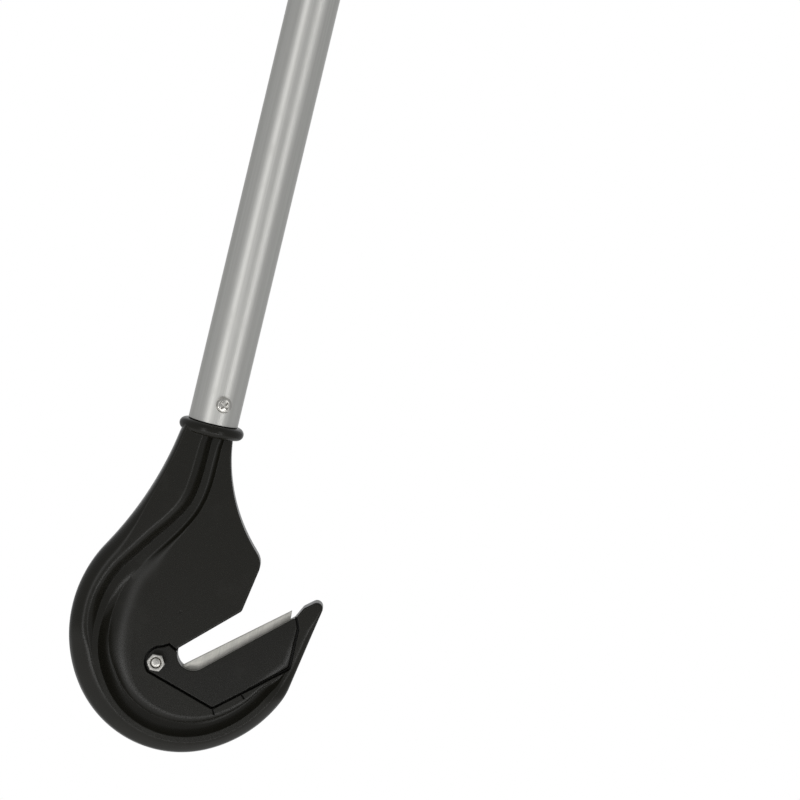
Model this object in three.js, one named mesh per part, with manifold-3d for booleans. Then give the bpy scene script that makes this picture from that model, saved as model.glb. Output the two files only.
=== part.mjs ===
// Long-handled wrap cutter with a hooked head, for cutting bandages off a hoof.
//
// A straight aluminium tube carries a moulded head at its lower end and a grip and a hanging cap at
// its upper end. The head is a disc with a slanted throat. A straight blade lies along the throat's
// lower jaw, held by a cover plate, which one bolt and nut clamp down.
//
// Millimetres, +Z up. The tube's axis is the Z axis, and the head's mid-plane is the XZ plane. The
// front, where the cover and the nut are, faces -Y. The origin is the centre of the hanging hole.

import * as THREE from 'three';
import { mergeVertices } from 'three/addons/utils/BufferGeometryUtils.js';
import Module from 'manifold-3d';

const wasm = await Module();
wasm.setup();

// ---- Driving dimensions ------------------------------------------------------------------------

const gap = 0.3;                    // clearance between neighbouring pieces

const tubeRadius = 12.5;
const tubeWall = 1.5;
const tubeTopZ = -18;               // upper end of the tube, under the cap
const tubeEndZ = -722;              // lower end of the tube: the datum that the head is drawn from

const spigotLength = 42;            // part of the head that goes up into the tube
const flangeRadius = 16.3;
const flangeThickness = 6;

const webHalf = 6;                  // the flat web lies between y = -6 and y = 6
const rimHalf = 12;                 // the raised rim round its outside edge stands out to 12
const rimRoundWidth = 4.5;          // rounding of the rim's edges, across the rim
const rimRoundHeight = 6.5;         // and along Y

const neckRadius = 13.3;            // the neck is round where it meets the flange
const neckOffset = -1.6;            // and sits this far left of the tube's axis

const throatCentre = [17.4, -115];  // round inner end of the throat
const throatRadius = 8;

const bladeAngle = 40.2;            // slope of the cutting edge, degrees
const bladeCentre = [36.4, -102.5]; // middle of the cutting edge
const bladeLength = 62;
const bladeSpineLength = 34;
const bladeDepth = 19;
const bladeThickness = 0.6;
const notchSpacing = 12;            // two notches in the blade's spine
const notchWidth = 3.4;
const notchDepth = 2.8;
const pegRadius = 1.3;              // pegs in the head that sit in the notches

const coverRecess = 1;              // visible gap between the cover and the edge of its recess
const boltCentre = [0.3, -122.4];
const boltRadius = 2.5;             // M5
const hexAcrossFlats = 8;
const boltHeadHeight = 3.5;
const nutHeight = 4.7;

const screwHeight = 10.6;           // above the tube's lower end
const screwAngle = 15;              // round the tube from the front, towards +X, degrees
const screwHeadRadius = 4;
const screwHeadHeight = 2.6;
const screwShankRadius = 2.1;
const screwLength = 11;

const gripLength = 125;
const gripRadius = 15.8;
const capFlangeRadius = 15.8;
const capFlangeThickness = 4;
const capPlugLength = 22;
const eyeRadius = 12;               // rounded end of the cap round the hanging hole
const eyeHalf = 6;
const hangingHoleRadius = 5;

// ---- Outline drawing: points in the head's plane, x across and z up from the tube's lower end ---

const degrees = THREE.MathUtils.degToRad;

// A pen that draws lines and arcs end to end, each arc tangent to what comes before it.
class Pen {
  constructor(x, z, heading) {
    this.points = [new THREE.Vector2(x, z)];
    this.heading = degrees(heading);
  }

  get tip() {
    return this.points[this.points.length - 1];
  }

  // Turns left for a sweep above zero, right below it. The sweep is in degrees.
  arc(radius, sweep, stepDegrees = 6) {
    const side = Math.sign(sweep);
    const start = this.heading;
    const centreX = this.tip.x - side * radius * Math.sin(start);
    const centreZ = this.tip.y + side * radius * Math.cos(start);
    const steps = Math.max(2, Math.ceil(Math.abs(sweep) / stepDegrees));
    for (let i = 1; i <= steps; i += 1) {
      const angle = start + degrees(sweep) * i / steps;
      const x = centreX + side * radius * Math.sin(angle);
      const z = centreZ - side * radius * Math.cos(angle);
      this.points.push(new THREE.Vector2(x, z));
    }
    this.heading = start + degrees(sweep);
    return this;
  }
}

// A polygon whose corners are [x, z, radius], each rounded to its radius.
function roundedCorners(corners) {
  const points = [];
  corners.forEach(([x, z, radius = 0], index) => {
    const corner = new THREE.Vector2(x, z);
    const before = new THREE.Vector2(...corners.at(index - 1).slice(0, 2));
    const after = new THREE.Vector2(...corners[(index + 1) % corners.length].slice(0, 2));
    if (radius === 0) {
      points.push(corner);
      return;
    }
    const inward = before.sub(corner).normalize();
    const outward = after.sub(corner).normalize();
    const half = Math.acos(inward.dot(outward)) / 2;
    const start = corner.clone().addScaledVector(inward, radius / Math.tan(half));
    const turn = Math.PI - 2 * half;
    const side = Math.sign(outward.x * inward.y - outward.y * inward.x);
    const pen = new Pen(start.x, start.y, THREE.MathUtils.radToDeg(inward.negate().angle()));
    pen.arc(radius, side * THREE.MathUtils.radToDeg(turn), 18);
    points.push(...pen.points);
  });
  return points;
}

// Moves a closed outline outwards by a distance, along the bisector at each point.
function grow(points, distance) {
  return points.map((point, index) => {
    const before = points.at(index - 1);
    const after = points[(index + 1) % points.length];
    const arriving = point.clone().sub(before).normalize();
    const leaving = after.clone().sub(point).normalize();
    const normal = new THREE.Vector2(arriving.y + leaving.y, -arriving.x - leaving.x).normalize();
    const stretch = Math.max(0.5, normal.x * arriving.y - normal.y * arriving.x);
    return point.clone().addScaledVector(normal, distance / stretch);
  });
}

function circlePoints([x, z], radius, steps = 24) {
  const pen = new Pen(x, z - radius, 0);
  pen.arc(radius, 360, 360 / steps);
  return pen.points.slice(0, -1);
}

function hexagonPoints([x, z], acrossFlats, turn = 0) {
  const corner = acrossFlats / Math.sqrt(3);
  return [...Array(6).keys()].map((i) => {
    const angle = degrees(60 * i + turn);
    return new THREE.Vector2(x + corner * Math.cos(angle), z + corner * Math.sin(angle));
  });
}

// ---- Solids ------------------------------------------------------------------------------------

function solid(geometry) {
  geometry.deleteAttribute('normal');
  geometry.deleteAttribute('uv');
  const merged = mergeVertices(geometry, 1e-4);
  const vertProperties = new Float32Array(merged.attributes.position.array);
  const triVerts = new Uint32Array(merged.index.array);
  return new wasm.Manifold(new wasm.Mesh({ numProp: 3, vertProperties, triVerts }));
}

// A plate with the given outline, between two heights along Y.
function plate(points, yFront, yBack) {
  const geometry = new THREE.ExtrudeGeometry(new THREE.Shape(points), {
    depth: yBack - yFront,
    bevelEnabled: false,
  });
  geometry.rotateX(Math.PI / 2);
  geometry.translate(0, yBack, 0);
  return solid(geometry);
}

// A plate with rounded edges: the outline stays the widest section.
function roundedPlate(points, half, roundWidth, roundHeight, segments) {
  const geometry = new THREE.ExtrudeGeometry(new THREE.Shape(points), {
    depth: 2 * (half - roundHeight),
    bevelThickness: roundHeight,
    bevelSize: roundWidth,
    bevelOffset: -roundWidth,
    bevelSegments: segments,
  });
  geometry.rotateX(Math.PI / 2);
  geometry.translate(0, half - roundHeight, 0);
  return solid(geometry);
}

// A turned piece round the Z axis. The profile is [radius, z] and goes up the outside: it starts and
// ends on the axis, or closes on itself.
function turned(profile, sides = 48) {
  const points = profile.map(([radius, z]) => new THREE.Vector2(radius, z));
  const geometry = new THREE.LatheGeometry(points, sides);
  geometry.rotateX(Math.PI / 2);
  return solid(geometry);
}

function rod(radius, zLow, zHigh, sides = 32) {
  return turned([[0, zLow], [radius, zLow], [radius, zHigh], [0, zHigh]], sides);
}

// ---- Outlines of the head's pieces -------------------------------------------------------------

const neckLeft = [-14.9, -7.9];
const neckTopZ = -flangeThickness / 2 - gap;
const outlineArcs = [[180, -21.7], [65.3, 67.3], [54.8, 80.6], [66.7, 37.9]];
const noseFootArc = [34, 12.6];
const creaseTop = [6.6, -7.9];
const creaseArcs = [[80.8, -50.3], [49.9, 65.1], [42.2, 126.5], [123, -6]];

// The head's outer edge, down the neck's left side and round the disc.
function outerEdge(arcs) {
  const pen = new Pen(...neckLeft, 261.1);
  arcs.forEach(([radius, sweep]) => pen.arc(radius, sweep));
  return pen.points;
}

// The rim's inner edge, where it meets the web.
function creaseEdge() {
  const pen = new Pen(...creaseTop, 276.9);
  creaseArcs.forEach(([radius, sweep]) => pen.arc(radius, sweep));
  return pen.points;
}

// The throat's inner end, drawn from the lower jaw round to the upper jaw.
function throatEnd() {
  const from = degrees(bladeAngle + 1 - 90);
  const x = throatCentre[0] + throatRadius * Math.cos(from);
  const z = throatCentre[1] + throatRadius * Math.sin(from);
  const pen = new Pen(x, z, bladeAngle + 1 + 180);
  pen.arc(throatRadius, -143, 12);
  return pen.points;
}

const noseTip = [76, -70.6, 3];
const noseInner = [65.4, -79.4, 2];
const jawStep = [62.2, -85.8, 2.5];
const upperJawLower = [35.8, -88.2, 3];
const upperJawUpper = [40.1, -62.2, 9];
const neckRightStart = [35.5, -57.2];

// The whole head seen from the front, without its flange and spigot.
function headOutline() {
  const nose = roundedCorners([[70, -103], noseTip, noseInner, jawStep, [50, -96.8]]);
  const upperJaw = roundedCorners([[10, -113.2], upperJawLower, upperJawUpper, neckRightStart]);
  const neckRight = new Pen(...neckRightStart, 134.5).arc(85, -37.7);
  return [
    new THREE.Vector2(neckLeft[0] + 1, neckTopZ),
    ...outerEdge([...outlineArcs, noseFootArc]),
    ...nose.slice(1, -1),
    ...throatEnd(),
    ...upperJaw.slice(1, -1),
    ...neckRight.points,
    new THREE.Vector2(11.3, neckTopZ),
  ];
}

// The raised rim: from the neck, round the disc, to the foot of the nose.
function rimOutline() {
  return [
    new THREE.Vector2(neckLeft[0] + 1, neckTopZ),
    ...outerEdge(outlineArcs),
    ...creaseEdge().reverse(),
    new THREE.Vector2(creaseTop[0] + 0.4, neckTopZ),
  ];
}

const coverTopLine = [[9.2, -113.6], [4.6, -113.1], [1.6, -114.9]];
const coverLowerCorner = [32.6, -138.4, 1.5];
const coverRightLow = [65, -110.4, 1.2];
const coverRightHigh = [64.6, -90, 3];
const coverTopCorner = [62.4, -84.8, 1];

function coverOutline() {
  const boss = new Pen(...coverTopLine[2], 190);
  boss.arc(7.6, 126, 14);
  const lower = roundedCorners([
    [boss.tip.x, boss.tip.y],
    coverLowerCorner,
    coverRightLow,
    coverRightHigh,
    coverTopCorner,
    [50, -97],
  ]);
  return [
    ...coverTopLine.slice(0, 2).map(([x, z]) => new THREE.Vector2(x, z)),
    ...boss.points,
    ...lower.slice(1, -1),
    ...throatEnd(),
  ];
}

// The blade: its cutting edge is the long side, and its spine has two notches.
function bladeOutline() {
  const along = new THREE.Vector2(Math.cos(degrees(bladeAngle)), Math.sin(degrees(bladeAngle)));
  const inward = new THREE.Vector2(along.y, -along.x);
  const notch = (centre) => [
    [centre + notchWidth / 2, bladeDepth],
    [centre + notchWidth / 2, bladeDepth - notchDepth],
    [centre - notchWidth / 2, bladeDepth - notchDepth],
    [centre - notchWidth / 2, bladeDepth],
  ];
  const corners = [
    [-bladeLength / 2, 0],
    [-bladeSpineLength / 2, bladeDepth],
    ...notch(-notchSpacing / 2).reverse(),
    ...notch(notchSpacing / 2).reverse(),
    [bladeSpineLength / 2, bladeDepth],
    [bladeLength / 2, 0],
  ];
  return corners.map(([s, depth]) => new THREE.Vector2(...bladeCentre)
    .addScaledVector(along, s)
    .addScaledVector(inward, depth));
}

// The same blade without its notches, for the pocket that it lies in.
function bladePocketOutline() {
  return bladeOutline().filter((point, index) => index < 2 || index > 9);
}

function notchCentres() {
  const along = new THREE.Vector2(Math.cos(degrees(bladeAngle)), Math.sin(degrees(bladeAngle)));
  const inward = new THREE.Vector2(along.y, -along.x);
  return [-1, 1].map((side) => new THREE.Vector2(...bladeCentre)
    .addScaledVector(along, side * notchSpacing / 2)
    .addScaledVector(inward, bladeDepth - notchDepth / 2 + gap));
}

// ---- Pieces, drawn in the head's own frame: z = 0 is the tube's lower end ------------------------

const bladeFront = -bladeThickness / 2;
const bladeBack = bladeThickness / 2;
const coverBack = bladeFront - gap;
const recessFloor = bladeFront;
const boltHeadFloor = 3.5;          // bottom of the hexagonal pocket in the back
const nutBack = -webHalf - gap;
const nutFront = nutBack - nutHeight;

function makeHead() {
  const flangeLow = -gap - flangeThickness;
  const spigotRadius = tubeRadius - tubeWall - gap;
  const flange = turned([
    [0, flangeLow],
    [flangeRadius - 2, flangeLow],
    [flangeRadius - 0.6, flangeLow + 1],
    [flangeRadius, flangeLow + flangeThickness / 2],
    [flangeRadius - 0.6, -gap - 1],
    [flangeRadius - 2, -gap],
    [spigotRadius, -gap],
    [spigotRadius, spigotLength - 1.5],
    [spigotRadius - 1.5, spigotLength],
    [0, spigotLength],
  ]);
  const screwTip = tubeRadius - screwLength - 1;
  const screwHole = rod(screwShankRadius + gap, screwTip, tubeRadius, 16)
    .rotate([90, 0, screwAngle])
    .translate([0, 0, screwHeight]);
  const pegs = notchCentres()
    .map((centre) => plate(circlePoints([centre.x, centre.y], pegRadius, 12), recessFloor, 1));
  const recess = plate(grow(coverOutline(), coverRecess), -rimHalf - 1, recessFloor);
  const pocket = plate(grow(bladePocketOutline(), 0.5), -rimHalf, bladeBack + gap);
  const boltHole = plate(circlePoints(boltCentre, boltRadius + gap), -rimHalf, rimHalf);
  const headPocket = plate(
    hexagonPoints(boltCentre, hexAcrossFlats + 2 * gap),
    boltHeadFloor,
    rimHalf,
  );
  const neckRoot = turned([[0, -32], [4, -32], [neckRadius, neckTopZ - 5], [neckRadius, neckTopZ],
    [0, neckTopZ]])
    .translate([neckOffset, 0, 0])
    .intersect(plate(headOutline(), -rimHalf, rimHalf));
  let head = plate(headOutline(), -webHalf, webHalf)
    .add(roundedPlate(rimOutline(), rimHalf, rimRoundWidth, rimRoundHeight, 3))
    .add(neckRoot)
    .subtract(recess)
    .subtract(pocket)
    .subtract(boltHole)
    .subtract(headPocket)
    .add(flange)
    .subtract(screwHole);
  pegs.forEach((peg) => {
    head = head.add(peg);
  });
  return head;
}

function makeCover() {
  return plate(coverOutline(), -webHalf, coverBack)
    .subtract(plate(circlePoints(boltCentre, boltRadius + gap), -rimHalf, rimHalf));
}

// The blade with its cutting edge ground to a bevel from the front.
function makeBlade() {
  const blank = plate(bladeOutline(), bladeFront, bladeBack);
  const bevelWidth = 1.6;
  const wedge = solid(new THREE.BoxGeometry(bladeLength + 10, 2, 2 * bevelWidth));
  const tilt = THREE.MathUtils.radToDeg(Math.atan2(bladeThickness - 0.1, bevelWidth));
  const cutter = wedge
    .translate([0, -1, 0])
    .rotate([-tilt, 0, 0])
    .translate([0, bladeBack - 0.1, 0])
    .rotate([0, -bladeAngle, 0])
    .translate([bladeCentre[0], 0, bladeCentre[1]]);
  return blank.subtract(cutter);
}

function makeBolt() {
  const head = plate(
    hexagonPoints(boltCentre, hexAcrossFlats),
    boltHeadFloor + gap,
    boltHeadFloor + gap + boltHeadHeight,
  );
  const shank = plate(circlePoints(boltCentre, boltRadius), nutFront + 0.1, boltHeadFloor + 1);
  return head.add(shank);
}

function makeNut() {
  const bore = circlePoints(boltCentre, boltRadius + gap);
  return plate(hexagonPoints(boltCentre, hexAcrossFlats, 2.5), nutFront, nutBack)
    .subtract(plate(bore, -rimHalf - 1, 0));
}

function makeScrew() {
  const seat = tubeRadius + gap;
  const headTop = seat + screwHeadHeight;
  return turned([
    [0, seat - screwLength],
    [screwShankRadius, seat - screwLength + 2],
    [screwShankRadius, seat],
    [screwHeadRadius, seat],
    [screwHeadRadius, seat + 1],
    [screwHeadRadius * 0.75, headTop - 0.5],
    [screwHeadRadius * 0.3, headTop],
    [0, headTop],
  ], 20)
    .rotate([90, 0, screwAngle])
    .translate([0, 0, screwHeight]);
}

function makeTube() {
  const inner = tubeRadius - tubeWall;
  const length = tubeTopZ - tubeEndZ;
  return turned([[inner, 0], [tubeRadius, 0], [tubeRadius, length], [inner, length], [inner, 0]])
    .subtract(rod(screwShankRadius + gap, 0, tubeRadius + 2, 16)
      .rotate([90, 0, screwAngle])
      .translate([0, 0, screwHeight]));
}

// ---- Upper end, drawn in the part's own frame --------------------------------------------------

function makeGrip() {
  const inner = tubeRadius + gap;
  const high = tubeTopZ - gap;
  const low = high - gripLength;
  const edge = 1.5;
  return turned([
    [inner, low],
    [gripRadius - edge, low],
    [gripRadius, low + edge],
    [gripRadius, high - edge],
    [gripRadius - edge, high],
    [inner, high],
    [inner, low],
  ]);
}

function makeCap() {
  const plugRadius = tubeRadius - tubeWall - gap;
  const seat = tubeTopZ + gap;
  const flangeTop = seat + capFlangeThickness;
  const plug = turned([
    [0, seat - capPlugLength],
    [plugRadius - 1, seat - capPlugLength],
    [plugRadius, seat - capPlugLength + 1],
    [plugRadius, seat],
    [capFlangeRadius - 0.8, seat],
    [capFlangeRadius, seat + 0.8],
    [capFlangeRadius, flangeTop - 1.2],
    [capFlangeRadius - 1.2, flangeTop],
    [0, flangeTop],
  ]);
  const tab = new Pen(eyeRadius, 0, 90);
  tab.arc(eyeRadius, 180, 12);
  const foot = flangeTop - 1;
  const tabPoints = [
    new THREE.Vector2(eyeRadius, foot),
    ...tab.points,
    new THREE.Vector2(-eyeRadius, foot),
  ];
  const hole = plate(circlePoints([0, 0], hangingHoleRadius), -eyeHalf - 1, eyeHalf + 1);
  return plug.add(plate(tabPoints, -eyeHalf, eyeHalf)).subtract(hole);
}

// ---- The object --------------------------------------------------------------------------------

function finish(colour, roughness, metalness) {
  return new THREE.MeshStandardMaterial({ color: colour, roughness, metalness });
}

const blackPlastic = finish(0x262523, 0.42, 0);
const coverPlastic = finish(0x2a2927, 0.46, 0);
const brushedAluminium = finish(0xa9abad, 0.38, 1);
const groundSteel = finish(0xc8c6b9, 0.28, 1);
const platedSteel = finish(0xb9b8b2, 0.3, 1);
const gripRubber = finish(0x1c1c1c, 0.8, 0);

function mesh(name, made, material) {
  const { vertProperties, triVerts } = made.getMesh();
  const geometry = new THREE.BufferGeometry();
  geometry.setAttribute('position', new THREE.BufferAttribute(vertProperties, 3));
  geometry.setIndex(new THREE.BufferAttribute(triVerts, 1));
  const node = new THREE.Mesh(geometry, material);
  node.name = name;
  return node;
}

const lowerEnd = new THREE.Group();
lowerEnd.position.z = tubeEndZ;
lowerEnd.add(
  mesh('hook_head', makeHead(), blackPlastic),
  mesh('handle_tube', makeTube(), brushedAluminium),
  mesh('tube_screw', makeScrew(), platedSteel),
  mesh('blade_cover', makeCover(), coverPlastic),
  mesh('cutting_blade', makeBlade(), groundSteel),
  mesh('clamp_bolt', makeBolt(), platedSteel),
  mesh('clamp_nut', makeNut(), platedSteel),
);

const cutter = new THREE.Group();
cutter.add(
  lowerEnd,
  mesh('hand_grip', makeGrip(), gripRubber),
  mesh('hanging_cap', makeCap(), blackPlastic),
);

export default cutter;
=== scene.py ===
# Looks of the long-handled wrap cutter, built round its solid model.
#
# Every piece is modelled again with the detail that the solids leave out: the crowned rim and its
# groove, rounded edges, the cross in the screw, the thread, the ribs of the grip. Lengths are in
# millimetres where a piece is drawn, and place() turns them into metres in the solids' frame.

import math

import bmesh
import bpy
from mathutils import Matrix, Vector


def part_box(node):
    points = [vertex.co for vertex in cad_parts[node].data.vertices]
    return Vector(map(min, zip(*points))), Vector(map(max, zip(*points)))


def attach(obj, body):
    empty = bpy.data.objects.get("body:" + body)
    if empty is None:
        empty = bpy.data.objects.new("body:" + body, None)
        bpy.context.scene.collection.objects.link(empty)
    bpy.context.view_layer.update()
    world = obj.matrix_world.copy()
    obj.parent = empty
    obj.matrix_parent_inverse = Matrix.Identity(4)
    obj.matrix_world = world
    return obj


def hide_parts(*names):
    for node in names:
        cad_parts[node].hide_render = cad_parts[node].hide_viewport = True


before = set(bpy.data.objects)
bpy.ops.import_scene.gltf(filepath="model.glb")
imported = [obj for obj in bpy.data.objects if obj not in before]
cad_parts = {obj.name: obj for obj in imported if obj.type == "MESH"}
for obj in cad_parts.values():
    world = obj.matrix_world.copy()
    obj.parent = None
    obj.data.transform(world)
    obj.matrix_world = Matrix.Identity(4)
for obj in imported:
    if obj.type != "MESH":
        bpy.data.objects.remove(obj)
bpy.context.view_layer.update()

MM = 0.001
SAME_PLACE = 0.001                    # points closer than this, in millimetres, are one
FRONT = Vector((0, -1, 0))
UP = Vector((0, 0, 1))
tube_low, tube_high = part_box("handle_tube")
datum = tube_low.z                    # lower end of the tube, from which the head is drawn

# ---- Driving dimensions ------------------------------------------------------------------------

CLEARANCE = 0.3                       # between neighbouring pieces
WEB_HALF = 6.0                        # half the thickness of the head's flat web
RIM_HALF = 12.0                       # and of the raised rim
TUBE_RADIUS = 12.5
TUBE_WALL = 1.5
SPIGOT_RADIUS = 10.7
NECK_TOP = -3.3
BOLT = (0.3, -122.4)
BOLT_RADIUS = 2.5
HEX_ACROSS = 8.0
NUT_BACK = -6.3
NUT_FRONT = -11.0
BLADE_ANGLE = 40.2
BLADE_CENTRE = (36.4, -102.5)
BLADE_HALF = 0.3                      # half the blade's thickness
SCREW_HEIGHT = 10.6
SCREW_ANGLE = 15.0


def place(x, z, y=0.0):
    """A point of the head's own drawing, in metres in the frame."""
    return Vector((x * MM, y * MM, datum + z * MM))


# ---- Drawing and modelling ---------------------------------------------------------------------


def start_piece(name, point):
    """A new piece of one vertex, left in edit mode with that vertex selected."""
    bpy.ops.object.select_all(action="DESELECT")
    bpy.ops.mesh.primitive_plane_add(size=MM, location=point)
    piece = bpy.context.object
    piece.name = name
    piece.data.name = name
    bpy.ops.object.transform_apply(location=True, rotation=True, scale=True)
    bpy.ops.object.mode_set(mode="EDIT")
    bpy.ops.mesh.merge(type="CENTER")
    return piece


def open_piece(piece):
    """Takes one piece into edit mode with nothing in it selected."""
    bpy.ops.object.select_all(action="DESELECT")
    piece.select_set(True)
    bpy.context.view_layer.objects.active = piece
    bpy.ops.object.mode_set(mode="EDIT")
    bpy.ops.mesh.select_all(action="DESELECT")


def close_piece():
    bpy.ops.object.mode_set(mode="OBJECT")


def select_vertices(piece, wanted):
    """Selects the vertices that a test accepts, and the edges and faces between them."""
    mesh = bmesh.from_edit_mesh(piece.data)
    for vertex in mesh.verts:
        vertex.select = wanted(vertex)
    mesh.select_flush_mode()
    bmesh.update_edit_mesh(piece.data)


def select_edges(piece, wanted):
    """Selects only the edges that a test accepts."""
    bpy.ops.mesh.select_mode(type="EDGE")
    bpy.ops.mesh.select_all(action="DESELECT")
    mesh = bmesh.from_edit_mesh(piece.data)
    for edge in mesh.edges:
        edge.select = wanted(edge)
    mesh.select_flush_mode()
    bmesh.update_edit_mesh(piece.data)


def bevel_edges(piece, wanted, width, segments=3):
    """Rounds the edges that a test accepts."""
    open_piece(piece)
    select_edges(piece, wanted)
    bpy.ops.mesh.bevel(offset=width * MM, segments=segments, affect="EDGES")
    bpy.ops.mesh.select_mode(type="VERT")
    close_piece()


def carve(piece, tool, operation="DIFFERENCE"):
    """Cuts a tool out of a piece, adds it, or keeps what both share. The tool is used up."""
    cut = piece.modifiers.new("cut", "BOOLEAN")
    cut.operation = operation
    cut.solver = "EXACT"
    cut.object = tool
    bpy.ops.object.select_all(action="DESELECT")
    piece.select_set(True)
    bpy.context.view_layer.objects.active = piece
    bpy.ops.object.modifier_apply(modifier=cut.name)
    bpy.data.objects.remove(tool, do_unlink=True)
    return piece


class Pen:
    """Draws lines and arcs end to end as a chain of edges in the head's plane."""

    def __init__(self, name, x, z, heading=0.0):
        self.piece = start_piece(name, place(x, z))
        self.x = x
        self.z = z
        self.heading = math.radians(heading)

    def pick_tip(self):
        tip = place(self.x, self.z)
        mesh = bmesh.from_edit_mesh(self.piece.data)
        nearest = min(mesh.verts, key=lambda vertex: (vertex.co - tip).length)
        select_vertices(self.piece, lambda vertex: vertex == nearest)

    def arc(self, radius, sweep, spacing=1.6):
        """Turns left for a sweep above zero and right below it, tangent to what came before."""
        side = math.copysign(1, sweep)
        centre_x = self.x - side * radius * math.sin(self.heading)
        centre_z = self.z + side * radius * math.cos(self.heading)
        turn = math.radians(sweep)
        self.pick_tip()
        bpy.ops.mesh.spin(
            steps=max(2, math.ceil(radius * abs(turn) / spacing)),
            angle=turn,
            center=place(centre_x, centre_z),
            axis=(0, 1, 0),
        )
        self.heading += turn
        self.x = centre_x + side * radius * math.sin(self.heading)
        self.z = centre_z - side * radius * math.cos(self.heading)
        return self

    def line(self, x, z, spacing=2.5):
        across = x - self.x
        rise = z - self.z
        length = math.hypot(across, rise)
        if length < SAME_PLACE:
            return self
        steps = max(1, round(length / spacing))
        stride = Vector((across, 0, rise)) * MM / steps
        self.pick_tip()
        for _ in range(steps):
            bpy.ops.mesh.extrude_region_move(TRANSFORM_OT_translate={"value": stride})
        self.heading = math.atan2(rise, across)
        self.x = x
        self.z = z
        return self

    def corners(self, corners, spacing=2.5, round_spacing=0.5):
        """Lines through corners (x, z, radius), each rounded. The last is where the pen stops."""
        for (x, z, radius), following in zip(corners, corners[1:]):
            arriving = math.atan2(z - self.z, x - self.x)
            leaving = math.atan2(following[1] - z, following[0] - x)
            turn = math.remainder(leaving - arriving, math.tau)
            cut = radius * math.tan(abs(turn) / 2)
            self.line(x - cut * math.cos(arriving), z - cut * math.sin(arriving), spacing)
            if radius:
                self.arc(radius, math.degrees(turn), round_spacing)
        self.line(*corners[-1][:2], spacing)
        return self


def number_stations(piece):
    """Numbers the vertices of a chain from its start, and gives their places in that order."""
    mesh = bmesh.from_edit_mesh(piece.data)
    station = mesh.verts.layers.int.new("station")
    mesh.verts.ensure_lookup_table()
    vertex = mesh.verts[0]
    edge = None
    places = []
    while vertex is not None:
        vertex[station] = len(places)
        places.append(vertex.co.copy())
        edge = next((e for e in vertex.link_edges if e != edge), None)
        vertex = edge.other_vert(vertex) if edge else None
    bmesh.update_edit_mesh(piece.data)
    return places


def left_normals(places, closed):
    """Unit normals to the left of a drawn chain, at each of its places."""
    normals = []
    count = len(places)
    for i in range(count):
        before = places[i - 1] if i else places[-2 if closed else 0]
        after = places[i + 1] if i + 1 < count else places[1 if closed else -1]
        arriving = (places[i] - before).normalized()
        leaving = (after - places[i]).normalized()
        along = (arriving + leaving).normalized()
        reach = max(0.5, along.dot(leaving if leaving.length else arriving))
        normals.append(Vector((-along.z, 0, along.x)) / reach)
    return normals


def put_stations(piece, places):
    """Moves each selected vertex to its station's place."""
    mesh = bmesh.from_edit_mesh(piece.data)
    station = mesh.verts.layers.int["station"]
    for vertex in mesh.verts:
        if vertex.select:
            vertex.co = places[vertex[station]]
    bmesh.update_edit_mesh(piece.data)


def drop_stations(piece):
    piece.data.attributes.remove(piece.data.attributes["station"])


def plate(pen, front, back, outward=0.0):
    """A plate with the outline that a pen has closed, between two heights along Y."""
    piece = pen.piece
    places = number_stations(piece)
    normals = left_normals(places, closed=True)
    lift = Vector((0, front * MM, 0))
    bpy.ops.mesh.select_all(action="SELECT")
    put_stations(piece, [p - n * outward * MM + lift for p, n in zip(places, normals)])
    bpy.ops.mesh.remove_doubles(threshold=1e-6)
    bpy.ops.mesh.edge_face_add()
    thickness = (0, (back - front) * MM, 0)
    bpy.ops.mesh.extrude_region_move(TRANSFORM_OT_translate={"value": thickness})
    bpy.ops.mesh.select_all(action="SELECT")
    bpy.ops.mesh.normals_make_consistent(inside=False)
    close_piece()
    drop_stations(piece)
    return piece


def turned(name, profile, centre=(0, 0, 0), axis=UP, radial=Vector((1, 0, 0)), sides=96):
    """A turned piece. The profile's points are (radius, height along the axis) in millimetres.

    It starts and ends on the axis, or closes on itself.
    """
    centre = Vector(centre)
    spots = [centre + (radial * radius + axis * height) * MM for radius, height in profile]
    piece = start_piece(name, spots[0])
    for here, there in zip(spots, spots[1:]):
        bpy.ops.mesh.extrude_region_move(TRANSFORM_OT_translate={"value": there - here})
    bpy.ops.mesh.select_all(action="SELECT")
    bpy.ops.mesh.spin(steps=sides, angle=math.tau, center=centre, axis=axis)
    bpy.ops.mesh.select_all(action="SELECT")
    bpy.ops.mesh.remove_doubles(threshold=2e-6)
    bpy.ops.mesh.normals_make_consistent(inside=False)
    close_piece()
    return piece


def rounded(across, height, radius, start, end, steps=6):
    """Points of a profile's rounding, about a centre, from one angle to another."""
    angles = [math.radians(start + (end - start) * i / steps) for i in range(steps + 1)]
    return [(across + radius * math.cos(a), height + radius * math.sin(a)) for a in angles]


def block(name, size, centre, turn=0.0, axis="Y"):
    """A box of a size in millimetres, turned about an axis through its centre."""
    bpy.ops.object.select_all(action="DESELECT")
    bpy.ops.mesh.primitive_cube_add(size=1, location=centre)
    piece = bpy.context.object
    piece.name = name
    piece.scale = Vector(size) * MM
    setattr(piece.rotation_euler, axis.lower(), math.radians(turn))
    bpy.ops.object.transform_apply(location=True, rotation=True, scale=True)
    return piece


def hexagon(name, across_flats, centre, front, back, turn=0.0):
    """A hexagonal bar along Y."""
    bpy.ops.object.select_all(action="DESELECT")
    bpy.ops.mesh.primitive_cylinder_add(
        vertices=6,
        radius=across_flats / math.sqrt(3) * MM,
        depth=(back - front) * MM,
        location=place(*centre, (front + back) / 2),
        rotation=(math.radians(90), math.radians(90 - turn), 0),
    )
    piece = bpy.context.object
    piece.name = name
    bpy.ops.object.transform_apply(location=True, rotation=True, scale=True)
    return piece


# ---- Materials ---------------------------------------------------------------------------------


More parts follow.
